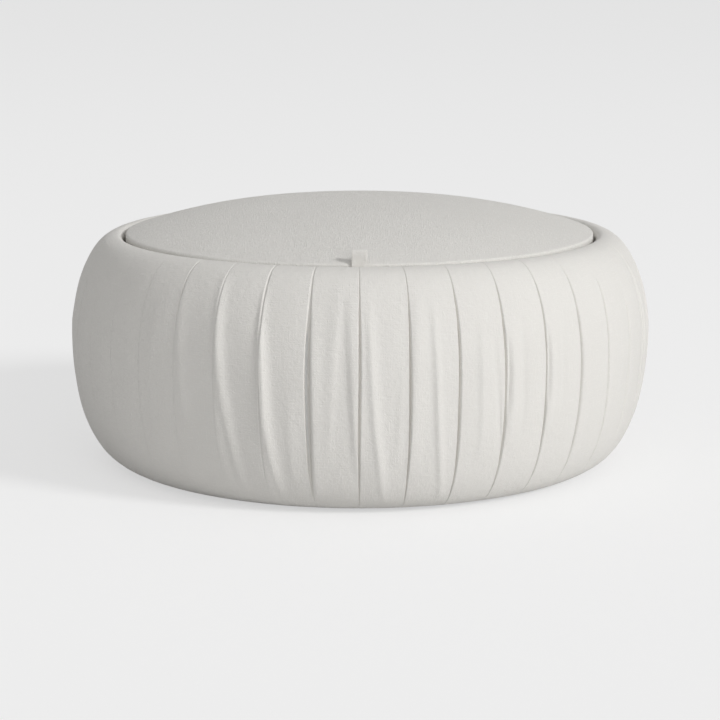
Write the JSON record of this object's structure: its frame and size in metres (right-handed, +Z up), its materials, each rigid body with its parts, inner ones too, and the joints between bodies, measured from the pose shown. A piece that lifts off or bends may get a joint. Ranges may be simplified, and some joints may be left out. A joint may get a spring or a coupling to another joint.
{
  "type": "storage pouf",
  "caption": "Low round pouf with a pleated, bulging cloth side, a storage well, and a domed padded lid with a pull tab that lifts off.",
  "frame": {"origin": "on the floor under the middle of the pouf", "axes": "+Z up along the pouf's axis; the pull tab is towards -Y; +X is to the right of someone facing the tab"},
  "size_m": [0.9198, 0.9198, 0.4112],
  "materials": {
    "cover_cloth": "woven, matte",
    "lining": "plain weave, matte",
    "dust_cloth": "matte non-woven",
    "foam": "matte open-cell foam",
    "wadding": "matte fleece",
    "steel": "zinc plated",
    "glide_plastic": "matte",
    "hardboard": "raw",
    "plywood": "raw, sanded"
  },
  "bodies": {
    "base": {"base_board": "plywood", "strut_1": "plywood", "strut_2": "plywood", "strut_3": "plywood", "strut_4": "plywood", "strut_5": "plywood", "strut_6": "plywood", "strut_7": "plywood", "strut_8": "plywood", "seat_ring": "plywood", "side_panel": "hardboard", "well_wall": "hardboard", "side_foam": "foam", "rim_foam": "foam", "side_wadding": "wadding", "cover_width_1": "cover_cloth", "cover_width_2": "cover_cloth", "cover_width_3": "cover_cloth", "cover_width_4": "cover_cloth", "ledge_cloth": "lining", "well_lining": "lining", "floor_pad": "lining", "dust_cover": "dust_cloth", "glide_1": "glide_plastic", "glide_2": "glide_plastic", "glide_3": "glide_plastic", "glide_4": "glide_plastic", "glide_5": "glide_plastic", "glide_6": "glide_plastic", "glide_nails": "steel", "strut_screws": "steel"},
    "lid": {"lid_board": "plywood", "lid_foam": "foam", "lid_wadding": "wadding", "lid_cover": "cover_cloth", "lid_under_cloth": "lining"},
    "tab": {"pull_tab": "cover_cloth"}
  },
  "joints": [
    {"name": "lid_lift", "type": "slide", "parent": "base", "child": "lid", "axis": [0, 0, 1], "range_m": [0, 0.35]},
    {"name": "tab_flex", "type": "hinge", "parent": "lid", "child": "tab", "pos_m": [0, -0.37128, 0.36188], "axis": [1, 0, 0], "range_deg": [-45, 80]}
  ]
}
